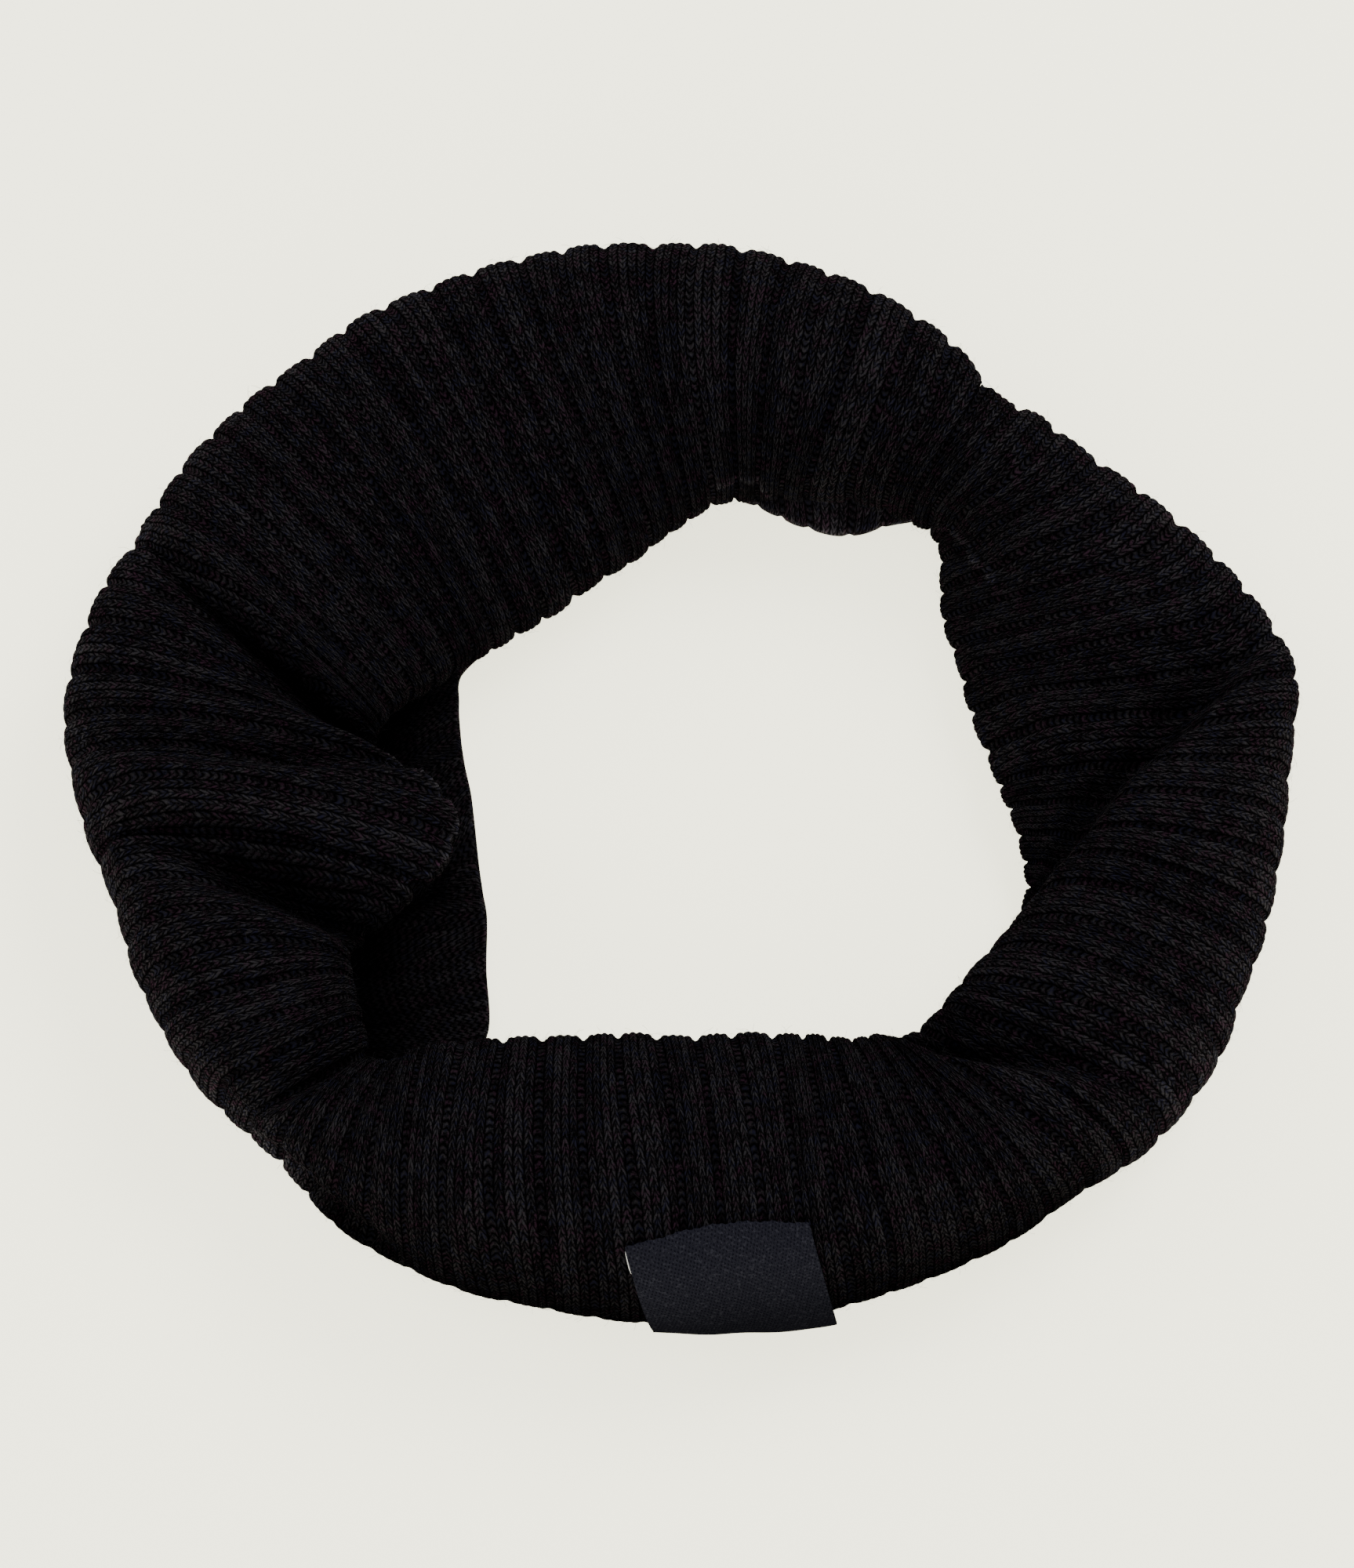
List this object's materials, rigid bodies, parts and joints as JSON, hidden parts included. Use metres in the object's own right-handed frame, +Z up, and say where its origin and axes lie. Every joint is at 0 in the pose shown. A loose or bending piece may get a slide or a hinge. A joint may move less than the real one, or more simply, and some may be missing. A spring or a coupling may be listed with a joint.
{
  "type": "knitted infinity scarf",
  "caption": "Rib-knitted infinity scarf or snood, its tube rolled into a puffy ring with soft folds, a turned-up flap on the left and a bare woven label at the front.",
  "frame": {"origin": "middle of the ring's outline seen from above, on the surface that it lies on", "axes": "+Z up from the surface, +X to the right and +Y to the back as the ring lies with its label to the front"},
  "size_m": [0.2806, 0.2599, 0.0501],
  "materials": {
    "rib_knit": "matt woollen rib knit, near black",
    "inner_knit": "matt plain side of the knit, near black",
    "label_weave": "fine satin weave, dark navy grey"
  },
  "bodies": {
    "root": {"stretch_left": "rib_knit", "stretch_back": "rib_knit", "stretch_right": "rib_knit", "stretch_front": "rib_knit", "stretch_front_left": "rib_knit", "tucked_layers": "inner_knit", "label": "label_weave"}
  },
  "joints": []
}
